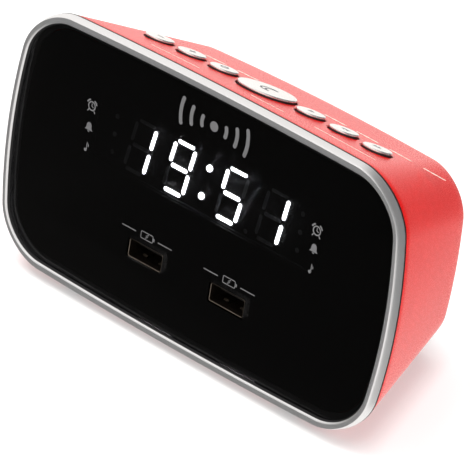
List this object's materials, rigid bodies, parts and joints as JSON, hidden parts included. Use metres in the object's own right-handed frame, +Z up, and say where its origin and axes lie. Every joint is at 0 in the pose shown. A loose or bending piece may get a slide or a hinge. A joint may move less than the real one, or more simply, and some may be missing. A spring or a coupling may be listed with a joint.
{
  "type": "clock radio",
  "caption": "Bedside clock radio: lean-back black display window in a silver bezel, tapered red case, round buttons on the sloping top, charging sockets in front.",
  "frame": {"origin": "middle of the overall footprint, level with the undersides of the feet", "axes": "+X to the right seen from the front, +Y to the rear, +Z up; the display window faces -Y and leans back 11 degrees"},
  "size_m": [0.1476, 0.0616, 0.0814],
  "materials": {
    "red_case": "satin red, fine even texture",
    "silver_bezel": "satin silver paint on plastic",
    "smoked_window": "polished, smoked black",
    "display_block": "black mask with four digits and a colon",
    "display_light": "lit white segments, emissive",
    "window_print": "grey printed symbols",
    "silver_buttons": "satin silver-white paint",
    "steel": "plain bright steel",
    "socket_insert": "black insert with gilt contacts",
    "black_plastic": "fine spark texture",
    "circuit_board": "green solder mask",
    "rubber": "matt black",
    "paper_cone": "pressed paper",
    "ferrite": "dark grey ferrite",
    "gilt": "gold-plated contacts"
  },
  "bodies": {
    "housing": {"antenna_grommet": "rubber", "backup_cell": "steel", "battery_holder": "black_plastic", "bezel_ring": "silver_bezel", "board_screw_1": "steel", "board_screw_2": "steel", "capacitor_1": "black_plastic", "capacitor_2": "black_plastic", "control_chip": "black_plastic", "cover_screw_1": "steel", "cover_screw_2": "steel", "cover_screw_3": "steel", "cover_screw_4": "steel", "dc_jack": "black_plastic", "dc_pin": "steel", "display_pcb": "circuit_board", "display_screw_left": "steel", "display_screw_right": "steel", "foot_front_left": "rubber", "foot_front_right": "rubber", "foot_rear_left": "rubber", "foot_rear_right": "rubber", "front_lens": "smoked_window", "housing_shell": "red_case", "key_pcb": "circuit_board", "key_screw_left": "steel", "key_screw_right": "steel", "led_display": "display_block", "main_pcb": "circuit_board", "rear_cover": "black_plastic", "speaker_frame": "steel", "speaker_magnet": "ferrite", "switch_1": "black_plastic", "switch_2": "black_plastic", "switch_3": "black_plastic", "switch_4": "black_plastic", "switch_5": "black_plastic", "switch_6": "black_plastic", "switch_7": "black_plastic", "tuner_shield": "steel", "usb_shell_left": "steel", "usb_shell_right": "steel", "usb_tongue_left": "socket_insert", "usb_tongue_right": "socket_insert"},
    "snooze_button": {"snooze_button": "silver_buttons"},
    "button_1": {"button_1": "silver_buttons"},
    "button_2": {"button_2": "silver_buttons"},
    "button_3": {"button_3": "silver_buttons"},
    "button_4": {"button_4": "silver_buttons"},
    "button_5": {"button_5": "silver_buttons"},
    "button_6": {"button_6": "silver_buttons"},
    "battery_door": {"battery_door": "black_plastic"},
    "speaker_cone": {"speaker_cone": "paper_cone"}
  },
  "joints": [
    {"name": "snooze_button_press", "type": "slide", "parent": "housing", "child": "snooze_button", "axis": [0, -0.4859, -0.874], "range_m": [0, 0.0008], "stiffness_N_per_m": 1200},
    {"name": "button_1_press", "type": "slide", "parent": "housing", "child": "button_1", "axis": [0, -0.4859, -0.874], "range_m": [0, 0.0008], "stiffness_N_per_m": 1500},
    {"name": "button_2_press", "type": "slide", "parent": "housing", "child": "button_2", "axis": [0, -0.4859, -0.874], "range_m": [0, 0.0008], "stiffness_N_per_m": 1500},
    {"name": "button_3_press", "type": "slide", "parent": "housing", "child": "button_3", "axis": [0, -0.4859, -0.874], "range_m": [0, 0.0008], "stiffness_N_per_m": 1500},
    {"name": "button_4_press", "type": "slide", "parent": "housing", "child": "button_4", "axis": [0, -0.4859, -0.874], "range_m": [0, 0.0008], "stiffness_N_per_m": 1500},
    {"name": "button_5_press", "type": "slide", "parent": "housing", "child": "button_5", "axis": [0, -0.4859, -0.874], "range_m": [0, 0.0008], "stiffness_N_per_m": 1500},
    {"name": "button_6_press", "type": "slide", "parent": "housing", "child": "button_6", "axis": [0, -0.4859, -0.874], "range_m": [0, 0.0008], "stiffness_N_per_m": 1500},
    {"name": "battery_door_hinge", "type": "hinge", "parent": "housing", "child": "battery_door", "pos_m": [0.0139, 0.02389, 0.02333], "axis": [-1, 0, 0], "range_deg": [0, 100]},
    {"name": "speaker_cone_travel", "type": "slide", "parent": "housing", "child": "speaker_cone", "axis": [0, 0.9816, -0.1908], "range_m": [-0.0008, 0.0008], "stiffness_N_per_m": 1500}
  ]
}
